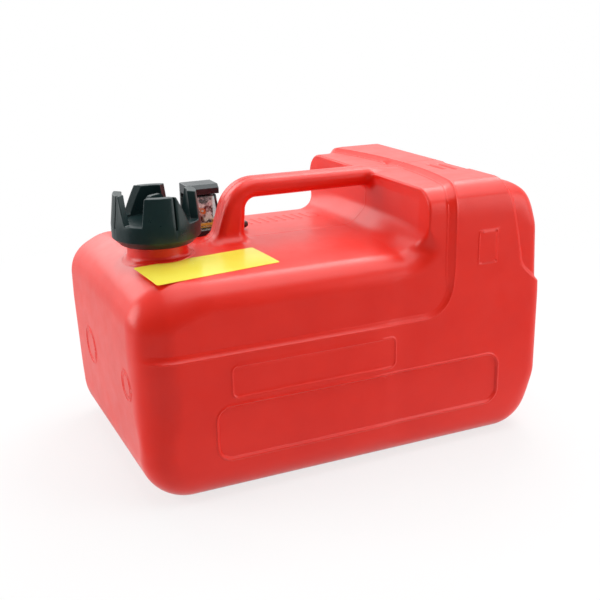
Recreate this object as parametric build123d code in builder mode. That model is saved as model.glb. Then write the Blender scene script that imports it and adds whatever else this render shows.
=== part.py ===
from build123d import *
from math import acos, asin, cos, degrees, pi, radians, sin, tan
import os

# Portable fuel tank for an outboard motor, in millimetres. X runs along the tank from the filler end
# (-X) to the raised hump (+X), Y across it, Z up. The origin is at the middle of the resting face.
# The tank is one hollow blow moulding. A vented filler cap screws on its neck, and a withdrawal unit
# behind the cap holds the hose barb, the pickup tube and a float gauge that shows the fuel level.

# ---- tank moulding ----
tank_length = 380
tank_width = 243
wall = 3
panel_step = 3              # the upper panels stand this far inside the lower band and the hump band
band_height = 127           # top of the lower band
band_inset = 103            # from the hump end to where the hump band begins
deck_height = 186.3
deck_drop = 6               # fall of the crowned deck from its middle to its sides
hump_height = 237
hump_drop = 1.5
hump_inset = 125            # from the hump end to the hump's left wall
hump_root = 90              # depth of the hump block's root below the deck
ramp_radius = 18            # of the concave ramp from the deck up to that wall
ramp_bite = 0.5             # the ramp's arc runs on this far into the wall
ramp_root = 36              # depth of the ramp block's root below the deck
end_lean = 5                # the filler end leans out by this much towards its top
bottom_radius = 36
end_radius = 38
plan_radius = 28
shoulder_radius = 22
deck_end_radius = 38        # rounding of the deck's end above the filler end
crest_radius = 34           # rounding of the hump's top towards the hump end
relief_step = 1.6           # the hump end's upper corner stands this far inside the hump band
relief_insets = (44, 34, 26)            # from the hump end to the relief's edge, at the heights below
relief_heights = (230, 190, 158, 142)   # the last one is the edge's height across the hump end
relief_corner = 14
relief_root = 100           # the relieved block starts this far from the hump end
hump_corner = 12
brow_radius = 12            # rounding along the top of the hump's left wall
band_corner = 25            # rounding where the lower band turns up to the hump band

panel_insets = (62, 48)     # from the tank's two ends to the large sunk panel on each side
panel_height = 46
panel_corner = 12
plate_insets = (75.5, 155)  # and to the small one above it
plate_height = 27
plate_corner = 5
plate_to_band, panel_to_plate = 12, 6.5     # from the plate up to the band's top, and down to the panel
panel_depth = 1.2

groove_radius, groove_depth = 4, 1.4
groove_places = ((32, -8, 67), (44, -35, 36), (62, -34, 25))    # inset from the hump end, y, length

# ---- handle ----
handle_width = 28
handle_rise = 4             # of the handle's top above the hump
grip_thickness = 17
grip_edge_radius = 6.5
handle_outer_corner = 24
handle_inner_corner = 10
handle_root = 12                        # depth of the post's root below the deck
foot_insets = (94, 131)                 # from the filler end to the post's two sides at its root
post_insets = (121, 136)                # and at the grip
grip_overlap = 35                       # the grip ends this far beyond the hump's left wall
grip_sink = 4                           # with its top this far below the hump's

# ---- filler neck and its thread ----
neck_inset, neck_y = 51, -18            # from the filler end
neck_radius = 25.5
neck_bore = 19
neck_height = 22.7          # above the deck
neck_root = 10              # the neck's wall starts this far below the deck
neck_pitch = 4.5
neck_thread_depth = 1.9
neck_thread_root, neck_thread_tip = 2.5, 1.4      # widths of the ridge
neck_thread_gap = 0.6       # between the tip of a thread and the wall that it faces
neck_thread_drop = 7.6      # from the neck's rim down to the middle of the lowest turn
neck_thread_rise = 5.6      # height from the lowest to the highest middle of a turn
cap_thread_rise = 4.6
thread_bite = 0.4           # how far a ridge is rooted in its wall

# ---- filler cap ----
cap_radius = 37.3
cap_rim_radius = 31
cap_top_radius = 34.4       # outer radius at the top of the wings
cap_shoulder = 6            # height of the conical part of the skirt above the rim
cap_skirt = 13.3            # from the underside of the cap's disc down to the rim
cap_disc = 4
cap_wing_height = 25        # above the disc
cap_wing_wall = 7.3
cap_wings = 4
wing_azimuth = -100
notch_azimuth = -47
notch_rise = 2              # the floor of a notch stands this far above the disc
notch_floor = (-7.6, 7.9)   # tangential reach of a notch at its floor and at the top
notch_mouth = (-16.5, 9.4)
slit_offset = 20            # degrees from the middle of a wing
slit_width = 1.7
slit_depth = 2.2
moulded_edge = 0.8          # rounding along the edges of the cap and of the other small mouldings
gasket_thickness = 2
gasket_lip = 0.7            # the gasket is this much wider than the neck's rim, inside and outside

# ---- vent screw in the cap ----
vent_boss_radius = 10.5
vent_boss_height = 5        # above the disc
vent_boss_reach = 7         # below the disc
vent_stem_radius = 4.2
vent_pitch = 2.5
vent_thread_depth = 1.0
vent_thread_root, vent_thread_tip = 1.2, 0.6
vent_thread_gap = 0.4
vent_thread_start = 3.5     # from the boss's lower end up to the middle of the lowest turn
vent_thread_rise = 4.5
vent_passage = 1.6
vent_port = 1.1
vent_seal_thickness = 1.6
vent_seal_width = 3.6
vent_seal_gap = 0.1         # between the seal and the stem
vent_head_radius = 9.5
vent_head_height = 4
vent_grip_height = 11.5
vent_grip_thickness = 4
vent_grip_window = 4.5      # radius of the arch's opening
vent_grip_azimuth = 30

# ---- withdrawal unit: flange, gasket and screws ----
unit_inset, unit_y = 113, 42            # from the filler end
port_length, port_width, port_corner = 40, 36, 6
port_gap = 0.4
flange_length, flange_width, flange_corner = 54, 48, 6
flange_thickness = 4.8
flange_gasket_thickness = 1
spigot_depth = 14
spigot_wall = 3
screw_inset = 4.2           # from the flange's edges to the screws
screw_radius = 2
screw_length = 14           # below its head
screw_head_radius = 3.4
screw_head_height = 2.2
screw_socket = 1.4          # radius and depth of the drive recess
screw_clearance = 0.2       # round a screw in the flange and the gasket
screw_tip_gap = 1           # a screw's hole in the tank runs on this far past its tip
seat_gap = 0.02             # between a pressed piece and its seat
screw_boss_radius = 5
screw_boss_depth = 16

# ---- gauge housing and lens ----
lens_width = 26
lens_wall = 2
lens_foot_reach = 15        # from the unit's middle to the lens's front face at its foot
lens_top_reach = 2.5        # and at its top
lens_back_reach = 15
lens_lip = 2
lens_lip_height = 1.7
roof_gap = 1.2
roof_thickness = 8.7
roof_lip = 3                # the roof stands out past the lens's top by this much
roof_chamfer = 3.5
roof_side = 2               # and past its sides
guard_wall = 3
guard_gap = 0.4
amber_height = 3.2
amber_width = 1.2
amber_gap = 0.1

# ---- gauge works ----
module = 1
tooth_addendum = 0.8
tooth_dedendum = 1.05
pressure_angle = 25
backlash = 0.15             # taken off each flank
pointer_teeth = 12
arm_teeth = 14
works_setback = 7           # from the unit's middle to the middle plane of the pinions and rack
pinion_width = 4
rack_width = 3.6
rack_spine = 2.2            # solid width between the two rows of teeth
rack_reach = 2.4            # the rack runs on this far past the last meshing point
rack_top_gap = 0.63431      # between the rack at the top of its travel and the lens
pinion_height = 12.2        # the pointer pinion's centre above the flange
dial_setback, dial_thickness = 2.3, 1.4
dial_width, dial_height = 21.4, 21.6
pointer_setback, pointer_thickness = 0.2, 1.1
pointer_length, pointer_tail, pointer_hub = 9.8, 3.5, 2.6
pointer_root, pointer_tip = 1.6, 0.5                # half widths
pointer_rest = 139          # degrees from +X, up and over: the empty mark
shaft_radius = 1.2
running_gap = 0.05
float_arm_length = 95
float_floor_gap = 4         # keeps the float clear of the floor when the tank is empty
float_roof_gap = 1.7        # and of the tank's top when it is full
float_radius, float_length, float_edge = 11, 38, 3
arm_strip_width, arm_strip_thickness = 7, 2.2
arm_side_gap = 0.3
arm_eye_margin = 1          # the arm's eye is this much wider all round than its strip
arm_peg_radius = 1
arm_peg_root = 1            # the peg starts this far inside the strip
arm_peg_share = 0.6         # and runs this share of the float's length
pin_radius = 1.5
pin_head_radius, pin_head_thickness = 2.6, 1
bracket_setback, bracket_thickness = 9.6, 2.5
bracket_width, bracket_margin = 20, 5
bracket_slot_gap = 0.1
guide_height, guide_wall, guide_gap = 6, 2, 0.3
guide_depths = (34, 62)     # below the deck

# ---- outlet: barb, pickup tube and strainer ----
outlet_reach, outlet_forward = 15.5, 11.8         # from the unit's middle along X and towards -Y
outlet_height = 4.4         # the barb's axis above the deck
duct_radius = 1.4
duct_boss_radius = 4.2
duct_boss_length = 6
barb_bore = 1.4
barb_shank = 2.8
barb_crest = 3.4
barb_tip = 2.4
barb_reach = 12
barb_land = 3
barb_cone = 2
barb_collar_radius, barb_collar_length = 3.4, 1.4
barb_spigot_radius, barb_spigot_length = 2.2, 4.5
barb_seal_radius, barb_seal_thickness = 3.0, 0.9
pickup_radius = 2.6
pickup_bore = 1.8
pickup_entry = 8            # how far the tube is pushed up into the spigot's boss
pickup_boss_radius = 3.9
pickup_floor_gap = 9        # from the tube's lower end to the tank's floor
strainer_radius = 6
strainer_wall = 1
strainer_edge = 0.9
strainer_height = 18
strainer_below_tube = 5
strainer_slots = 8
strainer_slot_width, strainer_slot_height = 1.6, 9
strainer_slot_rise = 1      # above the strainer's floor

# ---- label ----
label_inset, label_front, label_turn = 78, 55.5, 7     # from the filler end and from the front
label_length, label_width, label_corner = 110, 47, 2
label_thickness = 0.3
label_glue = 0.05

# ---- heights and places that follow from the sizes above ----
half_length, half_width = tank_length / 2, tank_width / 2
band_left, hump_left = half_length - band_inset, half_length - hump_inset
plate_high = band_height - plate_to_band
plate_low = plate_high - plate_height
panel_high = plate_low - panel_to_plate
panel_low = panel_high - panel_height
handle_top = hump_height + handle_rise
grip_underside = handle_top - grip_thickness
foot_outer, foot_inner = foot_insets[0] - half_length, foot_insets[1] - half_length
post_outer, post_inner = post_insets[0] - half_length, post_insets[1] - half_length
neck_x, unit_x = neck_inset - half_length, unit_inset - half_length
label_x, label_y = label_inset - half_length, label_front - half_width
neck_rim = deck_height + neck_height
cap_underside = neck_rim + gasket_thickness
cap_floor = cap_underside + cap_disc
cap_rim = cap_underside - cap_skirt
cap_top = cap_floor + cap_wing_height
cap_bore = neck_radius + neck_thread_depth + neck_thread_gap
vent_bore = vent_stem_radius + vent_thread_depth + vent_thread_gap
vent_seat = cap_floor + vent_boss_height
vent_foot = cap_underside - vent_boss_reach
flange_low = deck_height + flange_gasket_thickness
flange_top = flange_low + flange_thickness
flange_right = unit_x + flange_length / 2
lens_front_foot, lens_front_top = unit_y - lens_foot_reach, unit_y - lens_top_reach
lens_back = unit_y + lens_back_reach
roof_width = lens_width + 2 * roof_side
works_y, bracket_front = unit_y + works_setback, unit_y + bracket_setback
dial_front, pointer_front = unit_y + dial_setback, unit_y + pointer_setback
pinion_z = flange_top + pinion_height
pivot_z = (deck_height + float_floor_gap - float_roof_gap) / 2
float_fall = pivot_z - wall - float_floor_gap - float_radius
float_droop = degrees(asin(float_fall / (float_arm_length + float_length / 2)))
outlet_x, outlet_y = unit_x + outlet_reach, unit_y - outlet_forward
rack_left = unit_x + module * pointer_teeth / 2
spine_left = rack_left + tooth_dedendum
spine_right = spine_left + rack_spine
rack_right = spine_right + tooth_dedendum
arm_pitch = module * arm_teeth / 2
pivot_x = rack_right + arm_pitch
rack_travel = arm_pitch * radians(2 * float_droop)
rack_high = pinion_z + rack_travel + rack_reach
lens_top = rack_high + rack_top_gap + lens_wall
lens_height = lens_top - flange_top
roof_low = lens_top + roof_gap
arm_front = works_y - pinion_width / 2 - arm_strip_thickness
barb_z = deck_height + outlet_height


def end_outline(y, low, high, drop, low_radius, high_radius):
    """A block's outline in end view, with a crowned top that falls by drop to its sides."""
    with BuildSketch() as end_view:
        with BuildLine():
            sides = Polyline((-y, high - drop), (-y, low), (y, low), (y, high - drop))
            ThreePointArc(sides @ 1, (0, high), sides @ 0)
        make_face()
        round_corners(end_view, ((-y, low, low_radius), (y, low, low_radius),
                                 (-y, high - drop, high_radius), (y, high - drop, high_radius)))
    return end_view.sketch


def round_corners(sketch, corners):
    for u, v, radius in corners:
        if radius > 0:
            fillet(sketch.vertices().sort_by_distance((u, v, 0))[0], radius)


def moulding(left, right, half_y, low, high, drop, lean, lean_top, left_radii, right_radius, inset):
    """One block of the tank, drawn in by inset all round: rounded in end view, in plan and in side
    view. left_radii are its left end's corner radii in plan, at the bottom and at the top, and
    right_radius is its right end's at the top. The left end's foot stands lean further to the
    right than the upright wall above lean_top."""
    left_plan, left_low, left_high = (radius - inset for radius in left_radii)
    x0, x1, y = left + inset, right - inset, half_y - inset
    z0, z1 = low + inset, high - inset
    with BuildPart() as block:
        with BuildSketch(Plane.YZ.offset(x0)):
            add(end_outline(y, z0, z1, drop, bottom_radius - inset, shoulder_radius - inset))
        extrude(amount=x1 - x0)
        with BuildSketch(Plane.XY.offset(z0)) as plan:
            with Locations(((x0 + x1) / 2, 0)):
                Rectangle(x1 - x0, 2 * y)
            round_corners(plan, ((x0, -y, left_plan), (x0, y, left_plan),
                                 (x1, -y, plan_radius - inset), (x1, y, plan_radius - inset)))
        extrude(amount=z1 - z0, mode=Mode.INTERSECT)
        with BuildSketch(Plane.XZ) as side_view:
            with BuildLine():
                Polyline((x0 + lean, z0), (x1, z0), (x1, z1), (x0, z1), (x0, lean_top), close=True)
            make_face()
            round_corners(side_view, ((x0 + lean, z0, left_low), (x1, z0, end_radius - inset),
                                      (x1, z1, right_radius - inset), (x0, z1, left_high)))
        extrude(amount=y, both=True, mode=Mode.INTERSECT)
    return block.part


def hump_ramp(inset):
    """The concave ramp at the foot of the hump's left wall: the top of the deck's end view, turned
    about an axis that stands over the ramp's foot."""
    foot_x, axis_z = hump_left - ramp_radius + ramp_bite, deck_height + ramp_radius
    with BuildPart() as ramp:
        with BuildSketch(Plane.YZ.offset(foot_x)):
            add(end_outline(half_width - panel_step - inset, deck_height - ramp_root,
                            deck_height - inset, deck_drop, 0, shoulder_radius - inset))
        revolve(axis=Axis((foot_x, 0, axis_z), (0, -1, 0)), revolution_arc=90)
    return ramp.part


def tank_form(inset):
    """The body without handle and neck: a full-width lower band that runs up over the end of the
    hump, and inside it the narrower upper body and the rest of the hump."""
    inner_y, inner_end = half_width - panel_step, half_length - panel_step
    relief_y, relief_end = half_width - relief_step, half_length - relief_step
    end_radii = (plan_radius, end_radius, deck_end_radius)
    corner_x, corner_z = band_left + inset, band_height - inset
    relief = [(half_length - x, z) for x, z in zip(relief_insets, relief_heights)]
    with BuildPart() as form:
        add(moulding(-half_length, half_length, half_width, 0, hump_height, hump_drop, end_lean,
                     band_height, end_radii, crest_radius, inset))
        with BuildSketch(Plane.XZ) as above_band:
            Polygon((-tank_length, corner_z), (corner_x, corner_z), (corner_x, tank_length),
                    (-tank_length, tank_length), align=None)
            round_corners(above_band, ((corner_x, corner_z, band_corner + inset),))
        extrude(amount=tank_width, both=True, mode=Mode.SUBTRACT)
        with BuildSketch(Plane.XZ) as end_corner:
            Polygon(*relief, (tank_length, relief_heights[-1]), (tank_length, tank_length),
                    (half_length - relief_insets[0], tank_length), align=None)
            round_corners(end_corner, ((*relief[-1], relief_corner),))
        extrude(amount=tank_width, both=True, mode=Mode.SUBTRACT)
        add(moulding(half_length - relief_root, relief_end, relief_y, deck_height - hump_root,
                     hump_height - relief_step, hump_drop, 0, deck_height,
                     (plan_radius, end_radius, inset), crest_radius, inset))
        add(moulding(-half_length, inner_end, inner_y, panel_step, deck_height, deck_drop, end_lean,
                     band_height, end_radii, shoulder_radius, inset))
        add(moulding(hump_left, inner_end, inner_y, deck_height - hump_root,
                     hump_height - panel_step, hump_drop, 0, deck_height,
                     (hump_corner, inset, brow_radius), crest_radius, inset))
        add(hump_ramp(inset))
    return form.part


def helical_ridge(x, y, z, radius, depth, root_width, tip_width, pitch, rise):
    """A right-handed thread's ridge on a round wall, rising from z by rise. A positive depth stands
    outwards from the wall, and a negative one inwards."""
    bite = -thread_bite if depth > 0 else thread_bite
    with BuildPart() as ridge:
        with BuildLine():
            turns = Helix(pitch=pitch, height=rise, radius=radius, center=(x, y, z))
        with BuildSketch(Plane(origin=turns @ 0, x_dir=(1, 0, 0), z_dir=turns % 0)):
            Polygon((bite, -root_width / 2), (depth, -tip_width / 2), (depth, tip_width / 2),
                    (bite, root_width / 2), align=None)
        sweep(is_frenet=True)
    return ridge.part


def pinion_sketch(teeth, facing):
    """An involute pinion about the sketch's origin, with a tooth's middle at the angle facing."""
    pitch_r = module * teeth / 2
    base_r = pitch_r * cos(radians(pressure_angle))
    root_r, tip_r = pitch_r - tooth_dedendum, pitch_r + tooth_addendum
    involute = tan(radians(pressure_angle)) - radians(pressure_angle)
    steps = 5
    flank = [(root_r - thread_bite, base_r)] + [
        (r, r) for r in (base_r + (tip_r - base_r) * k / steps for k in range(steps + 1))]
    points = []
    for r, on_involute in flank:
        roll = acos(base_r / on_involute)
        half = pi / (2 * teeth) - backlash / pitch_r + involute - (tan(roll) - roll)
        points.append((r * cos(half), r * sin(half)))
    outline = points + [(x, -y) for x, y in reversed(points)]
    with BuildSketch() as pinion:
        Circle(root_r)
        with PolarLocations(0, teeth, start_angle=facing):
            Polygon(*outline, align=None)
    return pinion.sketch


def rack_teeth(pitch_x, side, middle, low, high):
    """The middles of the rack's teeth and one tooth's outline, for a rack whose pitch line is at
    pitch_x. side is the way the teeth point, and a gap lies at the height middle."""
    half = module * pi / 4 - backlash
    slope = tan(radians(pressure_angle))
    tip, root = half - tooth_addendum * slope, half + tooth_dedendum * slope
    tip_x, root_x = pitch_x + side * tooth_addendum, pitch_x - side * (tooth_dedendum + thread_bite)
    outline = [(root_x, -root), (tip_x, -tip), (tip_x, tip), (root_x, root)]
    first = -int((middle - low - tip) / (module * pi) + 0.5)
    last = int((high - tip - middle) / (module * pi) - 0.5)
    return [middle + module * pi * (k + 0.5) for k in range(first, last + 1)], outline


os.makedirs("parts", exist_ok=True)
neck_plane = Plane(origin=(neck_x, neck_y, 0), x_dir=(1, 0, 0), z_dir=(0, -1, 0))
neck_axis = Axis((neck_x, neck_y, 0), (0, 0, 1))
works_plane = Plane(origin=(0, works_y, 0), x_dir=(1, 0, 0), z_dir=(0, -1, 0))
screw_places = GridLocations(flange_length - 2 * screw_inset, flange_width - 2 * screw_inset, 2, 2)
screw_spots = [(unit_x + place.position.X, unit_y + place.position.Y) for place in screw_places]

# ---- tank shell: one hollow moulding with its handle, neck and gauge port ----
with BuildPart() as handle:
    grip_end = hump_left + grip_overlap
    with BuildSketch(Plane.XZ) as handle_side:
        with BuildLine():
            Polyline((foot_outer, deck_height - handle_root), (post_outer, handle_top),
                     (hump_left, handle_top), (grip_end, hump_height - grip_sink),
                     (grip_end, grip_underside),
                     (post_inner, grip_underside), (foot_inner, deck_height - handle_root),
                     close=True)
        make_face()
        fillet(handle_side.vertices().sort_by_distance((post_outer, handle_top, 0))[0],
               handle_outer_corner)
        fillet(handle_side.vertices().sort_by_distance((post_inner, grip_underside, 0))[0],
               handle_inner_corner)
    extrude(amount=handle_width / 2, both=True)
    outline = handle.faces().filter_by(Axis.Y).edges()
    fillet(outline.filter_by_position(Axis.X, foot_outer, hump_left)
           .filter_by_position(Axis.Z, deck_height, cap_top), grip_edge_radius)

with BuildPart() as handle_hollow:
    with BuildSketch(Plane.XZ) as hollow_side:
        add(handle_side.sketch)
        offset(amount=-wall)
    extrude(amount=handle_width / 2 - wall, both=True)

with BuildPart() as tank_shell:
    add(tank_form(0))
    add(handle.part)
    with BuildSketch(Plane.XY.offset(deck_height - neck_root)):
        with Locations((neck_x, neck_y)):
            Circle(neck_radius)
    extrude(amount=neck_height + neck_root)
    add(helical_ridge(neck_x, neck_y, neck_rim - neck_thread_drop, neck_radius, neck_thread_depth,
                      neck_thread_root, neck_thread_tip, neck_pitch, neck_thread_rise))
    with BuildSketch(Plane.XY.offset(deck_height)):
        with Locations((unit_x, unit_y)):
            RectangleRounded(flange_length + 2 * wall, flange_width + 2 * wall, flange_corner + wall)
    extrude(amount=-2 * wall)
    add(tank_form(wall), mode=Mode.SUBTRACT)
    add(handle_hollow.part, mode=Mode.SUBTRACT)
    with BuildSketch(Plane.XY.offset(deck_height)):
        with Locations(*screw_spots):
            Circle(screw_boss_radius)
    extrude(amount=-screw_boss_depth)
    with BuildSketch(Plane.XY.offset(deck_height)):
        with Locations((unit_x, unit_y)):
            RectangleRounded(port_length, port_width, port_corner)
    extrude(amount=-screw_boss_depth, mode=Mode.SUBTRACT)
    with BuildSketch(Plane.XY.offset(deck_height)):
        with Locations(*screw_spots):
            Circle(screw_radius + seat_gap)
    extrude(amount=flange_top - screw_length - deck_height - screw_tip_gap,
            mode=Mode.SUBTRACT)
    with BuildSketch(Plane.XY.offset(neck_rim)):
        with Locations((neck_x, neck_y)):
            Circle(neck_bore)
    extrude(amount=-neck_height - neck_root - wall, mode=Mode.SUBTRACT)
    for side in (1, -1):
        with BuildSketch(Plane.XZ.offset(side * half_width)):
            for (left, right), low, high, corner in (
                    (panel_insets, panel_low, panel_high, panel_corner),
                    (plate_insets, plate_low, plate_high, plate_corner)):
                with Locations(((left - right) / 2, (low + high) / 2)):
                    RectangleRounded(tank_length - left - right, high - low, corner)
        extrude(amount=-side * panel_depth, mode=Mode.SUBTRACT)
    for inset, y, length in groove_places:
        with Locations((half_length - inset, y, hump_height - groove_depth + groove_radius)):
            Cylinder(groove_radius, length, rotation=(90, 0, 0), mode=Mode.SUBTRACT)
tank_shell.part.label = "tank_shell"
export_step(tank_shell.part, "parts/tank_shell.step")

# ---- label stuck on the deck in front of the neck ----
with BuildPart() as label:
    with BuildSketch(Plane.YZ.offset(label_x - label_length)):
        with BuildLine():
            edge_y = half_width - panel_step
            crown = ThreePointArc((-edge_y, deck_height - deck_drop), (0, deck_height),
                                  (edge_y, deck_height - deck_drop))
            offset(crown, amount=label_thickness, side=Side.LEFT)
        make_face()
    extrude(amount=2 * label_length)
    with BuildSketch(Plane.XY.offset(deck_height - deck_drop)):
        with Locations(Location((label_x, label_y), label_turn)):
            RectangleRounded(label_length, label_width, label_corner)
    extrude(amount=2 * deck_drop, mode=Mode.INTERSECT)
warning_label = label.part.translate((0, 0, label_glue))
warning_label.label = "warning_label"
export_step(warning_label, "parts/warning_label.step")

# ---- filler cap ----
with BuildPart() as cap_body:
    with BuildSketch(neck_plane):
        with BuildLine():
            Polyline((0, cap_underside), (cap_bore, cap_underside), (cap_bore, cap_rim),
                     (cap_rim_radius, cap_rim), (cap_radius, cap_rim + cap_shoulder),
                     (cap_radius, cap_floor), (cap_top_radius, cap_top),
                     (cap_top_radius - cap_wing_wall, cap_top),
                     (cap_radius - cap_wing_wall, cap_floor), (0, cap_floor), close=True)
        make_face()
    revolve(axis=neck_axis)
    for k in range(cap_wings):
        turn = notch_azimuth + 360 / cap_wings * k
        across = (-sin(radians(turn)), cos(radians(turn)), 0)
        outwards = (cos(radians(turn)), sin(radians(turn)), 0)
        with BuildSketch(Plane(origin=(neck_x, neck_y, 0), x_dir=across, z_dir=outwards)):
            Polygon((notch_floor[0], cap_floor + notch_rise), (notch_floor[1], cap_floor + notch_rise),
                    (notch_mouth[1], cap_top + moulded_edge), (notch_mouth[0], cap_top + moulded_edge),
                    align=None)
        extrude(amount=2 * cap_radius, mode=Mode.SUBTRACT)
    fillet(cap_body.edges().filter_by_position(Axis.Z, cap_floor + notch_rise / 2,
                                               cap_top + moulded_edge), moulded_edge)
    for k in range(cap_wings):
        turn = wing_azimuth + slit_offset + 360 / cap_wings * k
        outwards = (cos(radians(turn)), sin(radians(turn)), 0)
        across = (sin(radians(turn)), -cos(radians(turn)), 0)
        with BuildSketch(Plane(origin=(neck_x, neck_y, 0), x_dir=outwards, z_dir=across)):
            Polygon((cap_radius - slit_depth, cap_floor - cap_disc / 2),
                    (cap_radius + slit_depth, cap_floor - cap_disc / 2),
                    (cap_top_radius + slit_depth, cap_top + slit_depth),
                    (cap_top_radius - slit_depth, cap_top + slit_depth), align=None)
        extrude(amount=slit_width / 2, both=True, mode=Mode.SUBTRACT)
    with BuildSketch(Plane.XY.offset(vent_foot)):
        with Locations((neck_x, neck_y)):
            Circle(vent_boss_radius)
    extrude(amount=vent_seat - vent_foot)
    with BuildSketch(Plane.XY.offset(vent_foot)):
        with Locations((neck_x, neck_y)):
            Circle(vent_bore)
    extrude(amount=vent_seat - vent_foot, mode=Mode.SUBTRACT)
    add(helical_ridge(neck_x, neck_y, vent_foot + vent_thread_start + vent_pitch / 2, vent_bore,
                      -vent_thread_depth, vent_thread_root, vent_thread_tip, vent_pitch,
                      vent_thread_rise))
    add(helical_ridge(neck_x, neck_y, neck_rim - neck_thread_drop + neck_pitch / 2, cap_bore,
                      -neck_thread_depth, neck_thread_root, neck_thread_tip, neck_pitch,
                      cap_thread_rise))
cap_body.part.label = "cap_body"
export_step(cap_body.part, "parts/cap_body.step")

with BuildPart() as cap_gasket:
    with BuildSketch(Plane.XY.offset(neck_rim)):
        with Locations((neck_x, neck_y)):
            Circle(neck_radius + gasket_lip)
            Circle(neck_bore - gasket_lip, mode=Mode.SUBTRACT)
    extrude(amount=gasket_thickness)
cap_gasket.part.label = "cap_gasket"
export_step(cap_gasket.part, "parts/cap_gasket.step")

# ---- vent screw: a hollow threaded stem whose side port is shut by the seal under its head ----
head_low = vent_seat + vent_seal_thickness
head_high = head_low + vent_head_height
with BuildPart() as vent_knob:
    with BuildSketch(Plane.XY.offset(vent_foot)):
        with Locations((neck_x, neck_y)):
            Circle(vent_stem_radius)
    extrude(amount=head_low - vent_foot)
    with BuildSketch(Plane.XY.offset(head_low)):
        with Locations((neck_x, neck_y)):
            Circle(vent_head_radius)
    extrude(amount=vent_head_height)
    fillet(vent_knob.edges().group_by(Axis.Z)[-1], moulded_edge)
    along = (cos(radians(vent_grip_azimuth)), sin(radians(vent_grip_azimuth)), 0)
    across = (along[1], -along[0], 0)
    grip_half = vent_head_radius - moulded_edge
    with BuildSketch(Plane(origin=(neck_x, neck_y, head_high), x_dir=along, z_dir=across)) as arch:
        with Locations((0, vent_grip_height / 2 - moulded_edge)):
            Rectangle(2 * grip_half, vent_grip_height + 2 * moulded_edge)
        fillet(arch.vertices().group_by(Axis.Y)[-1], grip_half / 2)
        with Locations((0, vent_grip_height / 3)):
            Circle(vent_grip_window, mode=Mode.SUBTRACT)
    extrude(amount=vent_grip_thickness / 2, both=True)
    with BuildSketch(Plane.XY.offset(vent_foot)):
        with Locations((neck_x, neck_y)):
            Circle(vent_passage)
    extrude(amount=vent_seat - vent_foot, mode=Mode.SUBTRACT)
    with BuildSketch(Plane.YZ.offset(neck_x)):
        with Locations((neck_y, vent_seat - vent_passage)):
            Circle(vent_port)
    extrude(amount=vent_head_radius, both=True, mode=Mode.SUBTRACT)
    add(helical_ridge(neck_x, neck_y, vent_foot + vent_thread_start, vent_stem_radius,
                      vent_thread_depth, vent_thread_root, vent_thread_tip, vent_pitch,
                      vent_thread_rise))
vent_knob.part.label = "vent_knob"
export_step(vent_knob.part, "parts/vent_knob.step")

with BuildPart() as vent_seal:
    with BuildSketch(Plane.XY.offset(vent_seat)):
        with Locations((neck_x, neck_y)):
            Circle(vent_stem_radius + vent_seal_gap + vent_seal_width)
            Circle(vent_stem_radius + vent_seal_gap, mode=Mode.SUBTRACT)
    extrude(amount=vent_seal_thickness)
vent_seal.part.label = "vent_seal"
export_step(vent_seal.part, "parts/vent_seal.step")

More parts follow.
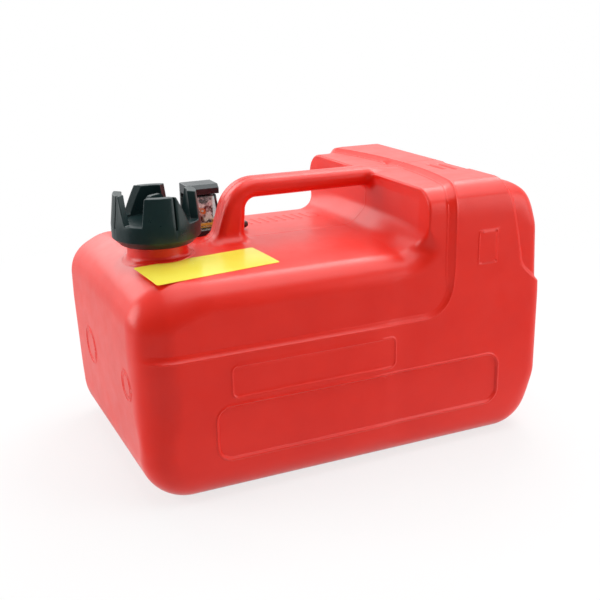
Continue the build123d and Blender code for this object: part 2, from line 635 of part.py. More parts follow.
# ---- withdrawal flange: plate, spigot in the port, outlet duct, slots for the gauge works ----
slot_left, slot_right = rack_left - tooth_addendum - guide_gap, spine_right + guide_gap
bracket_middle = unit_x + bracket_width / 2 - lens_width / 2 + lens_wall + guide_gap
with BuildPart() as withdrawal_flange:
    with BuildSketch(Plane.XY.offset(flange_low)):
        with Locations((unit_x, unit_y)):
            RectangleRounded(flange_length, flange_width, flange_corner)
    extrude(amount=flange_thickness)
    fillet(withdrawal_flange.edges().group_by(Axis.Z)[-1], moulded_edge)
    with BuildSketch(Plane.XY.offset(flange_low)):
        with Locations((unit_x, unit_y)):
            RectangleRounded(port_length - 2 * port_gap, port_width - 2 * port_gap,
                             port_corner - port_gap)
            RectangleRounded(port_length - 2 * port_gap - 2 * spigot_wall,
                             port_width - 2 * port_gap - 2 * spigot_wall,
                             port_corner - port_gap - spigot_wall, mode=Mode.SUBTRACT)
        with Locations((outlet_x, outlet_y)):
            Circle(pickup_boss_radius)
    extrude(amount=-spigot_depth)
    with BuildSketch(Plane.YZ.offset(flange_right - duct_boss_length)):
        with Locations((outlet_y, barb_z)):
            Circle(duct_boss_radius)
    extrude(amount=duct_boss_length)
    with BuildSketch(Plane.XY.offset(flange_low)):
        with Locations((unit_x, unit_y)):
            Rectangle(2 * flange_length, 2 * flange_width)
            RectangleRounded(port_length, port_width, port_corner, mode=Mode.SUBTRACT)
    extrude(amount=-spigot_depth, mode=Mode.SUBTRACT)
    with BuildSketch(Plane.XY.offset(flange_low - spigot_depth)):
        with Locations((outlet_x, outlet_y)):
            Circle(pickup_radius + seat_gap)
    extrude(amount=pickup_entry, mode=Mode.SUBTRACT)
    with BuildSketch(Plane.XY.offset(flange_low - spigot_depth)):
        with Locations((outlet_x, outlet_y)):
            Circle(pickup_bore)
    extrude(amount=barb_z - flange_low + spigot_depth, mode=Mode.SUBTRACT)
    with BuildSketch(Plane.YZ.offset(outlet_x)):
        with Locations((outlet_y, barb_z)):
            Circle(duct_radius)
    extrude(amount=flange_right - outlet_x, mode=Mode.SUBTRACT)
    with BuildSketch(Plane.YZ.offset(flange_right)):
        with Locations((outlet_y, barb_z)):
            Circle(barb_spigot_radius + seat_gap)
    extrude(amount=-barb_spigot_length, mode=Mode.SUBTRACT)
    with BuildSketch(Plane.YZ.offset(flange_right)):
        with Locations((outlet_y, barb_z)):
            Circle(barb_seal_radius)
    extrude(amount=-barb_seal_thickness, mode=Mode.SUBTRACT)
    with BuildSketch(Plane.XY.offset(flange_top)):
        with Locations(((slot_left + slot_right) / 2, works_y)):
            Rectangle(slot_right - slot_left, rack_width + 2 * guide_gap)
        with Locations((bracket_middle, bracket_front + bracket_thickness / 2)):
            Rectangle(bracket_width + 2 * bracket_slot_gap, bracket_thickness + 2 * bracket_slot_gap)
        with Locations(*screw_spots):
            Circle(screw_radius + screw_clearance)
    extrude(amount=-flange_thickness, mode=Mode.SUBTRACT)
withdrawal_flange.part.label = "withdrawal_flange"
export_step(withdrawal_flange.part, "parts/withdrawal_flange.step")

with BuildPart() as flange_gasket:
    with BuildSketch(Plane.XY.offset(deck_height)):
        with Locations((unit_x, unit_y)):
            RectangleRounded(flange_length, flange_width, flange_corner)
            RectangleRounded(port_length, port_width, port_corner, mode=Mode.SUBTRACT)
        with Locations(*screw_spots):
            Circle(screw_radius + screw_clearance, mode=Mode.SUBTRACT)
    extrude(amount=flange_gasket_thickness)
flange_gasket.part.label = "flange_gasket"
export_step(flange_gasket.part, "parts/flange_gasket.step")

with BuildPart() as flange_screws:
    with BuildSketch(Plane.XY.offset(flange_top)):
        with Locations(*screw_spots):
            Circle(screw_head_radius)
    extrude(amount=screw_head_height)
    fillet(flange_screws.edges().group_by(Axis.Z)[-1], screw_head_height / 2)
    with BuildSketch(Plane.XY.offset(flange_top + screw_head_height)):
        with Locations(*screw_spots):
            RegularPolygon(screw_socket, 6)
    extrude(amount=-screw_socket, mode=Mode.SUBTRACT)
    with BuildSketch(Plane.XY.offset(flange_top)):
        with Locations(*screw_spots):
            Circle(screw_radius)
    extrude(amount=-screw_length)
flange_screws.part.label = "flange_screws"
export_step(flange_screws.part, "parts/flange_screws.step")

# ---- clear lens: a closed cup with a sloping front, held down by its lip ----
def lens_wedge(front_foot, front_top, back, low, high, width):
    """A block as wide as the lens whose front slopes back from its foot to its top."""
    with BuildPart() as wedge:
        with BuildSketch(Plane.YZ.offset(unit_x)):
            Polygon((front_foot, low), (back, low), (back, high), (front_top, high), align=None)
        extrude(amount=width / 2, both=True)
    return wedge.part


front_slope = (lens_front_top - lens_front_foot) / lens_height
inner_foot = lens_front_foot + lens_wall * (1 + front_slope ** 2) ** 0.5
inner_top = inner_foot + (lens_height - lens_wall) * front_slope
with BuildPart() as gauge_lens:
    add(lens_wedge(lens_front_foot, lens_front_top, lens_back, flange_top, lens_top, lens_width))
    fillet(gauge_lens.edges().filter_by_position(Axis.Z, flange_top + moulded_edge, lens_top),
           moulded_edge)
    with BuildSketch(Plane.XY.offset(flange_top)):
        with Locations((unit_x, (lens_front_foot + lens_back) / 2 - lens_lip / 2)):
            RectangleRounded(lens_width + 2 * lens_lip, lens_back - lens_front_foot + lens_lip,
                             lens_lip)
    extrude(amount=lens_lip_height)
    add(lens_wedge(inner_foot, inner_top, lens_back - lens_wall, flange_top, lens_top - lens_wall,
                   lens_width - 2 * lens_wall), mode=Mode.SUBTRACT)
gauge_lens.part.label = "gauge_lens"
export_step(gauge_lens.part, "parts/gauge_lens.step")

with BuildPart() as lens_seal:
    seal_length = lens_back - lens_wall - inner_foot - 3 * amber_gap - front_slope * amber_height
    seal_y = lens_back - lens_wall - amber_gap - seal_length / 2
    with BuildSketch(Plane.XY.offset(flange_top)):
        with Locations((unit_x, seal_y)):
            Rectangle(lens_width - 2 * lens_wall - 2 * amber_gap, seal_length)
            Rectangle(lens_width - 2 * lens_wall - 2 * amber_gap - 2 * amber_width,
                      seal_length - 2 * amber_width, mode=Mode.SUBTRACT)
        with Locations((bracket_middle, bracket_front + bracket_thickness / 2)):
            Rectangle(bracket_width + 2 * bracket_slot_gap, bracket_thickness + 2 * bracket_slot_gap,
                      mode=Mode.SUBTRACT)
    extrude(amount=amber_height)
lens_seal.part.label = "lens_seal"
export_step(lens_seal.part, "parts/lens_seal.step")

# ---- guard: a hooded roof over the lens on a back wall that stands on the flange ----
guard_front = lens_front_top - roof_lip
guard_back = lens_back + guard_gap + guard_wall
with BuildPart() as gauge_guard:
    with BuildSketch(Plane.YZ.offset(unit_x)):
        Polygon((guard_front, roof_low), (guard_back - guard_wall, roof_low),
                (guard_back - guard_wall, flange_top), (guard_back, flange_top),
                (guard_back, roof_low + roof_thickness),
                (guard_front + roof_chamfer, roof_low + roof_thickness),
                (guard_front, roof_low + roof_thickness - roof_chamfer), align=None)
    extrude(amount=roof_width / 2, both=True)
    fillet(gauge_guard.edges().filter_by_position(Axis.Z, roof_low + moulded_edge,
                                                  roof_low + roof_thickness), moulded_edge)
gauge_guard.part.label = "gauge_guard"
export_step(gauge_guard.part, "parts/gauge_guard.step")

# ---- gauge works: bracket, dial, rack, pointer and float arm ----
bracket_left, bracket_right = bracket_middle - bracket_width / 2, bracket_middle + bracket_width / 2
spigot_foot = flange_low - spigot_depth
bracket_foot = pivot_z - bracket_margin
guide_left, guide_right = spine_left - guide_gap, spine_right + guide_gap
with BuildPart() as float_bracket:
    with BuildSketch(works_plane.offset(works_y - bracket_front)):
        Polygon((bracket_left, lens_top - lens_wall - bracket_margin),
                (bracket_left, spigot_foot), (guide_left - guide_wall, bracket_foot + bracket_width),
                (guide_left - guide_wall, bracket_foot), (pivot_x + bracket_margin, bracket_foot),
                (pivot_x + bracket_margin, bracket_foot + bracket_width), (bracket_right, spigot_foot),
                (bracket_right, lens_top - lens_wall - bracket_margin), align=None)
        with Locations((unit_x, pinion_z)):
            Circle(shaft_radius + running_gap, mode=Mode.SUBTRACT)
        with Locations((pivot_x, pivot_z)):
            Circle(pin_radius + seat_gap, mode=Mode.SUBTRACT)
    extrude(amount=-bracket_thickness)
    with BuildSketch(works_plane.offset(works_y - bracket_front)):
        for depth in guide_depths:
            with Locations(((guide_left + guide_right) / 2, deck_height - depth)):
                Rectangle(guide_right - guide_left + 2 * guide_wall, guide_height)
                Rectangle(guide_right - guide_left, guide_height, mode=Mode.SUBTRACT)
    extrude(amount=bracket_front - works_y + rack_width / 2)
float_bracket.part.label = "float_bracket"
export_step(float_bracket.part, "parts/float_bracket.step")

dial_plane = works_plane.offset(works_y - dial_front)
dial_low = flange_top + amber_height + amber_gap
with BuildPart() as gauge_dial:
    with BuildSketch(dial_plane):
        with Locations((unit_x, dial_low + dial_height / 2)):
            Rectangle(dial_width, dial_height)
        with Locations((unit_x, pinion_z)):
            Circle(shaft_radius + running_gap, mode=Mode.SUBTRACT)
    extrude(amount=-dial_thickness)
    with BuildSketch(Plane.XY.offset(flange_top)):
        with Locations((unit_x, dial_front + dial_thickness / 2)):
            Rectangle(dial_width - 2 * amber_width - 4 * amber_gap, dial_thickness)
    extrude(amount=dial_low - flange_top)
gauge_dial.part.label = "gauge_dial"
export_step(gauge_dial.part, "parts/gauge_dial.step")

rack_low = pivot_z - rack_reach
upper_heights, upper_tooth = rack_teeth(rack_left, -1, pinion_z, pinion_z - rack_reach, rack_high)
lower_heights, lower_tooth = rack_teeth(rack_right, 1, pivot_z, rack_low,
                                        pivot_z + rack_travel + rack_reach)
with BuildPart() as gauge_rack:
    with BuildSketch(works_plane):
        with Locations(((spine_left + spine_right) / 2, (rack_low + rack_high) / 2)):
            Rectangle(rack_spine, rack_high - rack_low)
        for heights, tooth in ((upper_heights, upper_tooth), (lower_heights, lower_tooth)):
            with Locations(*[(0, z) for z in heights]):
                Polygon(*tooth, align=None)
    extrude(amount=rack_width / 2, both=True)
gauge_rack.part.label = "gauge_rack"
export_step(gauge_rack.part, "parts/gauge_rack.step")

with BuildPart() as pointer_pinion:
    with BuildSketch(works_plane):
        with Locations((unit_x, pinion_z)):
            add(pinion_sketch(pointer_teeth, 0))
    extrude(amount=pinion_width / 2, both=True)
    with BuildSketch(works_plane.offset(works_y - pointer_front)):
        with Locations((unit_x, pinion_z)):
            Circle(shaft_radius)
    extrude(amount=pointer_front - bracket_front - bracket_thickness)
pointer_pinion.part.label = "pointer_pinion"
export_step(pointer_pinion.part, "parts/pointer_pinion.step")

with BuildPart() as pointer:
    with BuildSketch(works_plane.offset(works_y - pointer_front)):
        with Locations(Location((unit_x, pinion_z), pointer_rest)):
            Polygon((-pointer_tail, -pointer_root), (pointer_length, -pointer_tip),
                    (pointer_length, pointer_tip), (-pointer_tail, pointer_root), align=None)
            Circle(pointer_hub)
            Circle(shaft_radius + seat_gap, mode=Mode.SUBTRACT)
    extrude(amount=-pointer_thickness)
pointer.part.label = "pointer"
export_step(pointer.part, "parts/pointer.step")

with BuildPart() as float_pin:
    with BuildSketch(works_plane.offset(works_y - arm_front + running_gap)):
        with Locations((pivot_x, pivot_z)):
            Circle(pin_head_radius)
    extrude(amount=pin_head_thickness)
    with BuildSketch(works_plane.offset(works_y - arm_front + running_gap)):
        with Locations((pivot_x, pivot_z)):
            Circle(pin_radius)
    extrude(amount=arm_front - running_gap - bracket_front - bracket_thickness)
float_pin.part.label = "float_pin"
export_step(float_pin.part, "parts/float_pin.step")

arm_plane = Plane(origin=(pivot_x, arm_front, pivot_z),
                  x_dir=(cos(radians(float_droop)), 0, -sin(radians(float_droop))), z_dir=(0, -1, 0))
peg_start = float_arm_length - float_length / 2
peg_y = arm_strip_thickness / 2
with BuildPart() as float_arm:
    with BuildSketch(works_plane):
        with Locations((pivot_x, pivot_z)):
            add(pinion_sketch(arm_teeth, 180))
    extrude(amount=pinion_width / 2, both=True)
    with BuildSketch(arm_plane):
        Circle(arm_strip_width / 2 + arm_eye_margin)
        with Locations((peg_start / 2, 0)):
            Rectangle(peg_start, arm_strip_width)
    extrude(amount=-arm_strip_thickness)
    with BuildSketch(Plane(origin=arm_plane.location.position, x_dir=(0, 1, 0), z_dir=arm_plane.x_dir)
                     .offset(peg_start - arm_peg_root)):
        with Locations((peg_y, 0)):
            Circle(arm_peg_radius)
    extrude(amount=float_length * arm_peg_share + arm_peg_root)
    with BuildSketch(works_plane.offset(works_y)):
        with Locations((pivot_x, pivot_z)):
            Circle(pin_radius + running_gap)
    extrude(amount=-2 * works_y, mode=Mode.SUBTRACT)
float_arm.part.label = "float_arm"
export_step(float_arm.part, "parts/float_arm.step")

with BuildPart() as float_body:
    with BuildSketch(Plane(origin=arm_plane.location.position, x_dir=(0, 1, 0), z_dir=arm_plane.x_dir)
                     .offset(peg_start + arm_side_gap)):
        with Locations((peg_y, 0)):
            Circle(float_radius)
    extrude(amount=float_length - arm_side_gap)
    fillet(float_body.edges().filter_by(GeomType.CIRCLE), float_edge)
    with BuildSketch(Plane(origin=arm_plane.location.position, x_dir=(0, 1, 0), z_dir=arm_plane.x_dir)
                     .offset(peg_start)):
        with Locations((peg_y, 0)):
            Circle(arm_peg_radius + seat_gap)
    extrude(amount=float_length * arm_peg_share + arm_side_gap, mode=Mode.SUBTRACT)
float_body.part.label = "float"
export_step(float_body.part, "parts/float.step")

# ---- outlet: pickup tube, strainer, barb and its seal ----
tube_top = spigot_foot + pickup_entry
tube_foot = wall + pickup_floor_gap
with BuildPart() as pickup_tube:
    with BuildSketch(Plane.XY.offset(tube_foot)):
        with Locations((outlet_x, outlet_y)):
            Circle(pickup_radius)
            Circle(pickup_bore, mode=Mode.SUBTRACT)
    extrude(amount=tube_top - tube_foot)
pickup_tube.part.label = "pickup_tube"
export_step(pickup_tube.part, "parts/pickup_tube.step")

strainer_foot = tube_foot - strainer_below_tube
with BuildPart() as pickup_strainer:
    with BuildSketch(Plane.XY.offset(strainer_foot)):
        with Locations((outlet_x, outlet_y)):
            Circle(strainer_radius)
    extrude(amount=strainer_height)
    fillet(pickup_strainer.edges().filter_by(GeomType.CIRCLE), strainer_edge)
    with BuildSketch(Plane.XY.offset(strainer_foot + strainer_wall)):
        with Locations((outlet_x, outlet_y)):
            Circle(strainer_radius - strainer_wall)
    extrude(amount=strainer_height - 2 * strainer_wall - pickup_radius, mode=Mode.SUBTRACT)
    with BuildSketch(Plane.XY.offset(strainer_foot + strainer_wall)):
        with Locations((outlet_x, outlet_y)):
            Circle(pickup_radius + seat_gap)
    extrude(amount=strainer_height, mode=Mode.SUBTRACT)
    with BuildSketch(Plane.XY.offset(strainer_foot + strainer_wall + strainer_slot_rise)):
        with Locations((outlet_x, outlet_y)):
            with PolarLocations(strainer_radius, strainer_slots):
                Rectangle(3 * strainer_wall, strainer_slot_width)
    extrude(amount=strainer_slot_height, mode=Mode.SUBTRACT)
pickup_strainer.part.label = "pickup_strainer"
export_step(pickup_strainer.part, "parts/pickup_strainer.step")

barb_plane = Plane(origin=(flange_right, outlet_y, barb_z), x_dir=(1, 0, 0), z_dir=(0, -1, 0))
crest_end = barb_reach - barb_cone
with BuildPart() as hose_barb:
    with BuildSketch(barb_plane):
        Polygon((-barb_spigot_length + seat_gap, barb_bore),
                (-barb_spigot_length + seat_gap, barb_spigot_radius),
                (0, barb_spigot_radius), (0, barb_collar_radius),
                (barb_collar_length, barb_collar_radius), (barb_collar_length, barb_shank),
                (crest_end - barb_land, barb_shank), (crest_end - barb_land, barb_crest),
                (crest_end, barb_crest), (barb_reach, barb_tip), (barb_reach, barb_bore), align=None)
    revolve(axis=Axis((0, outlet_y, barb_z), (1, 0, 0)))
hose_barb.part.label = "hose_barb"
export_step(hose_barb.part, "parts/hose_barb.step")

with BuildPart() as barb_seal:
    with BuildSketch(Plane.YZ.offset(flange_right)):
        with Locations((outlet_y, barb_z)):
            Circle(barb_seal_radius - seat_gap)
            Circle(barb_spigot_radius + seat_gap, mode=Mode.SUBTRACT)
    extrude(amount=-barb_seal_thickness + seat_gap)
barb_seal.part.label = "barb_seal"
export_step(barb_seal.part, "parts/barb_seal.step")
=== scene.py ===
import itertools
import math

import bmesh
import bpy
import numpy as np
from mathutils import Matrix, Vector


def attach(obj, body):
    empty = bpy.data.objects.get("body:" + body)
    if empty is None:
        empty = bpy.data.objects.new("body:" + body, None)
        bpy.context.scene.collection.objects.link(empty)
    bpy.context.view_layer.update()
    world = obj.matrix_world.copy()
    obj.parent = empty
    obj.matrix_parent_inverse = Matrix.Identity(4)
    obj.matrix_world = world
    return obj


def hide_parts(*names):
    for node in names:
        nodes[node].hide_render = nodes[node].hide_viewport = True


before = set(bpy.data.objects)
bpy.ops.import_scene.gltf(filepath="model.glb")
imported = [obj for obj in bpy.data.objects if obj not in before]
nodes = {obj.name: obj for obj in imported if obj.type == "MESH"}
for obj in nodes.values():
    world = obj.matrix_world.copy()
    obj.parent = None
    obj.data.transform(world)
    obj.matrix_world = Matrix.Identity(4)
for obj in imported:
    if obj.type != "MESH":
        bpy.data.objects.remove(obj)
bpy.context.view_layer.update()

# The tank is shaped in millimetres, in the row's frame. Meshes, floor, lamps and camera are in metres.
MM = 0.001


# ---- small helpers -------------------------------------------------------------------------------
def smooth(low, high, value):
    """0 at low, 1 at high, with a soft start and end."""
    t = np.clip((value - low) / (high - low), 0, 1)
    return t * t * (3 - 2 * t)


def ramp(value):
    """0 below -1, 1 above 1, straight between, with small curves at the ends."""
    t = np.clip(value, -1.15, 1.15)
    bend = np.maximum(np.abs(t) - 0.85, 0)
    return 0.5 + np.sign(t) * (np.abs(t) - bend * bend / 0.6) / 2


def bell(distance, width):
    """1 at distance 0, falling to nothing within a few widths on both sides."""
    return np.exp(-((distance / width) ** 2))


def soft_union(a, b, width):
    """Distance to two solids together, with a fillet of about this width where they meet."""
    share = np.clip(0.5 + 0.5 * (b - a) / width, 0, 1)
    return b + (a - b) * share - width * share * (1 - share)


def rounded_edge(a, b, radius):
    """Distance to the part common to two solids, with the edge between them rounded."""
    u = np.maximum(radius + a, 0)
    v = np.maximum(radius + b, 0)
    return np.minimum(-radius, np.maximum(a, b)) + np.sqrt(u * u + v * v)


def corner_distance(u, v, radius):
    """Distance to a rounded corner, from the distances to its two sides."""
    u, v = u + radius, v + radius
    return np.minimum(np.maximum(u, v), 0) + np.hypot(np.maximum(u, 0), np.maximum(v, 0)) - radius


def rounded_rectangle(u, v, half_u, half_v, radius):
    return corner_distance(np.abs(u) - half_u, np.abs(v) - half_v, radius)


def outline_parts(corners):
    """The straight and round parts of a closed outline, counter-clockwise, with rounded corners
    given as (u, v, radius)."""
    points = np.array([c[:2] for c in corners], float)
    arcs = []
    for i, (u, v, radius) in enumerate(corners):
        here = points[i]
        back = here - points[i - 1]
        ahead = points[(i + 1) % len(corners)] - here
        back, ahead = back / np.hypot(*back), ahead / np.hypot(*ahead)
        turn = back[0] * ahead[1] - back[1] * ahead[0]
        reach = radius * math.tan(math.acos(np.clip(back @ ahead, -1, 1)) / 2)
        start, end = here - back * reach, here + ahead * reach
        side = math.copysign(1, turn)
        centre = start + side * radius * np.array((-back[1], back[0]))
        arcs.append((centre, radius, side, start, end))
    lines = [(arcs[i - 1][4], arcs[i][3]) for i in range(len(corners))]
    return lines, arcs


def outline_distance(u, v, outline):
    """Distance to an outline, negative inside."""
    lines, arcs = outline
    best = np.full(np.broadcast(u, v).shape, 1e9)
    for start, end in lines:
        length = np.hypot(*(end - start))
        du, dv = (end - start) / length
        pu, pv = u - start[0], v - start[1]
        along = np.clip(pu * du + pv * dv, 0, length)
        distance = np.hypot(pu - along * du, pv - along * dv)
        distance = np.where(du * pv - dv * pu > 0, -distance, distance)
        best = np.where(np.abs(distance) < np.abs(best), distance, best)
    for centre, radius, side, start, end in arcs:
        pu, pv = u - centre[0], v - centre[1]
        a, b = (start - centre) * side, (end - centre) * side
        within = (a[0] * pv - a[1] * pu >= 0) & (pu * b[1] - pv * b[0] >= 0)
        distance = side * (np.hypot(pu, pv) - radius)
        best = np.where(within & (np.abs(distance) < np.abs(best)), distance, best)
    return best


# ---- the blow-moulded tank as a distance field ---------------------------------------------------
LEFT, RIGHT = -189.8, 190  # ends of the body
HALF_WIDTH = 120.4
DECK = 186.3
HUMP_TOP = 239.2
STEP_BACK = 3            # the upper body stands back this far from the bands
SKIN = DECK + STEP_BACK  # the deck's height before it is set back
WALL = 3.0
FACE_ROUNDING = 24       # rounding along the edges of the front and back face
FAR = 400                # well outside the tank

# Outlines seen from the front. Each corner is x, z and its rounding.
SIDE = outline_parts((
    (-185, 0, 40), (RIGHT, 0, 40), (RIGHT, 135, 200), (185, HUMP_TOP, 42), (0, HUMP_TOP, 1),
    (0, SKIN, 1), (LEFT, SKIN, 40), (LEFT, 125, 200)))
# The deck and the hump's left wall. Its other sides are far outside the tank.
DECK_AND_WALL = outline_parts((
    (-FAR, -200, 1), (FAR, -200, 1), (FAR, FAR, 1), (72, FAR, 1), (63.5, SKIN, 18), (-FAR, SKIN, 1)))
HANDLE = outline_parts((
    (-90, 168, 1), (-58, 168, 1), (-54, 223.5, 10), (100, 223.5, 1), (100, 231.5, 1),
    (67, 239.4, 40), (-67, 240.3, 34)))
HANDLE_HALF_WIDTH, HANDLE_ROUNDING = 14, 7.6
# The hump's right end, which stands back from its band.
RIGHT_RECESS = outline_parts((
    (149, 232, 6), (159, 190, 40), (165, 160, 18), (184, 144, 10), (240, 144, 1), (240, 280, 1),
    (149, 280, 1)))
RECESS_DEPTH = 3

BAND_EDGE = 89.5         # x of the line between the hump's wall and its band
BAND_BOW = 18            # how far that line bows to the right on top of the hump
BAND_HEIGHT = 127        # top of the lower band
BAND_ROUNDING = 25

NECK = (-139, -18)
NECK_RADIUS, NECK_BORE, NECK_RIM = 25.5, 19, 209
COLLAR_RADIUS, COLLAR_HEIGHT = 31, 0.9
UNIT = (-77, 42)         # centre of the gauge and outlet unit
SEAT = (30, 27, 9)       # its raised seat: half length, half width, corner radius
PORT_HALF_LENGTH, PORT_HALF_WIDTH, PORT_ROUNDING = 14, 12, 6

# Outlines on the faces: centre x and z, half length, half height, corner radius.
LARGE_PANEL = (7, 58.5, 135, 23, 12)
SMALL_PANEL = (-39.75, 101.5, 74.75, 13.5, 5)
MARK = (126.5, 182.5, 9.5, 14.5, 1)
LARGE_PANEL_DEPTH = 1.9
SMALL_PANEL_DEPTH = 0.3

# Grooves across the hump's top: x, middle y, half length.
GROOVES = ((158, -8, 33), (146, -35, 18), (135, -37, 14), (126, -33, 13))
GROOVE_DEPTH = 1.3
DIMPLE, DIMPLE_RADIUS, DIMPLE_DEPTH = (102, 19), 6, 1.6
# Ribs across the back of the deck.
RIB_COUNT, RIB_PITCH, RIB_HEIGHT = 9, 8.7, 0.7
FIRST_RIB, RIB_HALF_LENGTH = (-26, 60), 12
# Plain double rings on the left end: y, z, radius.
RINGS = ((44, 92, 17), (-76, 97, 13))
RING_GAP = 3.5
SEAM_HEIGHT = 0.3


def band_distance(x, y, z):
    """Distance to the line along which the upper body steps back from the lower band and from the
    hump's band, negative on the upper body."""
    edge = BAND_EDGE + BAND_BOW * np.maximum(1 - (y / 118) ** 2, 0) * smooth(222, 236, z)
    return corner_distance(x - edge, BAND_HEIGHT - z, BAND_ROUNDING)


def face_rounding(x, y, z):
    """Rounding between the faces and the outline: more at the foot and on the left end's front
    shoulder, less at the right end, and much less on the back of the hump."""
    hump = smooth(80, 105, x) * smooth(190, 205, z)
    radius = FACE_ROUNDING + 4 * smooth(60, 25, z) - 8 * smooth(150, 175, x) * smooth(30, 60, z)
    radius = radius + 10 * smooth(-125, -160, x) * smooth(-20, -80, y) * smooth(45, 85, z)
    return radius + hump * (2 - 19 * smooth(0, 80, y))


def body(x, y, z):
    """The body and its hump, set back above the bands."""
    crown = 6 * (y / 118.5) ** 2 * smooth(100, 170, z) * (1 - smooth(200, 228, z))
    faces = np.abs(y) - HALF_WIDTH
    block = rounded_edge(outline_distance(x, z + crown, SIDE), faces, face_rounding(x, y, z))
    stepped = outline_distance(x, z + crown, DECK_AND_WALL)
    stepped = rounded_edge(stepped, faces, FACE_ROUNDING - 19 * smooth(182, 206, z))
    form = rounded_edge(block, stepped, 5 * smooth(15, 45, x))
    band = band_distance(x, y, z)
    half_slope = 2 + 2 * smooth(140, 170, z)
    step = STEP_BACK * ramp(-band / half_slope) * smooth(-189, -166, x)
    rims = 0.5 * bell(np.abs(band) - half_slope, 0.8) * smooth(-186, -170, x)
    dish = 3 * np.maximum(1 - (y / 100) ** 2, 0) * smooth(84, 70, x) * smooth(30, 50, x)
    dish = dish * smooth(192, 204, z) * smooth(234, 224, z)
    recess = RECESS_DEPTH * ramp(-outline_distance(x, z, RIGHT_RECESS) / 1.6)
    return form + step + dish + recess - rims


def plain_tank(x, y, z):
    """The tank's body, handle, neck and unit seat, without the small relief."""
    handle = outline_distance(x, z, HANDLE)
    handle = rounded_edge(handle, np.abs(y) - HANDLE_HALF_WIDTH, HANDLE_ROUNDING)
    whole = soft_union(body(x, y, z), handle, 12 - 4 * smooth(0, 40, x))
    from_axis = np.hypot(x - NECK[0], y - NECK[1])
    collar = smooth(COLLAR_RADIUS, COLLAR_RADIUS - 1.5, from_axis) * smooth(180, 184, z)
    whole = whole - COLLAR_HEIGHT * collar
    neck = rounded_edge(from_axis - NECK_RADIUS, np.maximum(z - NECK_RIM, 150 - z), 1)
    whole = soft_union(whole, neck, 4)
    seat = rounded_rectangle(x - UNIT[0], y - UNIT[1], *SEAT)
    seat = rounded_edge(seat, np.maximum(z - DECK, 160 - z), 1)
    return soft_union(whole, seat, 2)


def panel_distance(x, z, panel):
    centre_x, centre_z, half_x, half_z, radius = panel
    return rounded_rectangle(x - centre_x, z - centre_z, half_x, half_z, radius)


def face_relief(x, y, z):
    """Sunk panels with raised rims, and a raised outline, on the front and back face."""
    large, small, mark = (panel_distance(x, z, panel) for panel in (LARGE_PANEL, SMALL_PANEL, MARK))
    relief = 1.0 * bell(large - 0.9, 0.85) - LARGE_PANEL_DEPTH * smooth(0.3, -1.5, large)
    relief = relief + 0.9 * bell(small, 0.9) - SMALL_PANEL_DEPTH * smooth(0, -1, small)
    relief = relief + 0.8 * bell(mark, 0.7)
    return relief * smooth(104, 112, np.abs(y))


def top_relief(x, y, z):
    """Grooves and a dimple in the hump's top."""
    on_top = smooth(226, 232, z)
    relief = 0
    for groove_x, groove_y, half in GROOVES:
        groove = np.hypot(x - groove_x, np.maximum(np.abs(y - groove_y) - half, 0))
        relief = relief - GROOVE_DEPTH * bell(groove, 2.2) * on_top
    dimple = np.hypot(x - DIMPLE[0], y - DIMPLE[1])
    return relief - DIMPLE_DEPTH * bell(dimple, DIMPLE_RADIUS) * on_top


def deck_relief(x, y, z):
    """The ribs on the deck."""
    on_deck = smooth(176, 182, z) * smooth(200, 194, z)
    relief = 0
    for k in range(RIB_COUNT):
        beyond = np.maximum(np.abs(y - FIRST_RIB[1]) - RIB_HALF_LENGTH, 0)
        rib = np.hypot(x - FIRST_RIB[0] - RIB_PITCH * k, beyond)
        relief = relief + RIB_HEIGHT * bell(rib, 1.3) * on_deck
    return relief


def end_relief(x, y, z):
    """The rings on the left end."""
    on_end = smooth(-150, -170, x)
    relief = 0
    for ring_y, ring_z, radius in RINGS:
        ring = np.hypot(y - ring_y, z - ring_z) - radius
        relief = relief + (0.6 * bell(ring, 0.7) + 0.5 * bell(ring + RING_GAP, 0.6)) * on_end
    return relief


def seam(x, y, z):
    """The mould's parting line, which fades out at both ends, at the foot and at the neck."""
    line = SEAM_HEIGHT * bell(y, 0.6) * smooth(26, 34, np.hypot(x - NECK[0], y)) * smooth(2, 8, z)
    return line * smooth(-176, -150, x) * smooth(187, 178, x)


def tank(x, y, z):
    """The tank's outside with its sunk panels, ridges and grooves."""
    relief = 0
    for part in (face_relief, top_relief, deck_relief, end_relief, seam):
        relief = relief + part(x, y, z)
    return plain_tank(x, y, z) - relief


def cavity(x, y, z):
    """The tank's hollow, without the outside's small relief."""
    return plain_tank(x, y, z) + WALL


# ---- from a distance field to a mesh -------------------------------------------------------------
CELL_SIDES = (slice(None, -1), slice(1, None))  # the low and the high grid points of the cells


def mean_crossings(values, cells):
    """Where the surface crosses the edges of the given cells, on average, 0 to 1 along each axis."""
    total = np.zeros((*cells.shape, 3))
    crossings = np.zeros(cells.shape)
    for axis in range(3):
        others = [i for i in range(3) if i != axis]
        for a, b in itertools.product((0, 1), repeat=2):
            near, far = [None] * 3, [None] * 3
            near[axis], far[axis] = CELL_SIDES
            near[others[0]] = far[others[0]] = CELL_SIDES[a]
            near[others[1]] = far[others[1]] = CELL_SIDES[b]
            v0, v1 = values[tuple(near)], values[tuple(far)]
            crossed = (v0 < 0) != (v1 < 0)
            total[..., axis] += np.where(crossed, v0 / np.where(crossed, v0 - v1, 1), 0)
            total[..., others[0]] += a * crossed
            total[..., others[1]] += b * crossed
            crossings += crossed
    return total[cells] / crossings[cells][:, None]


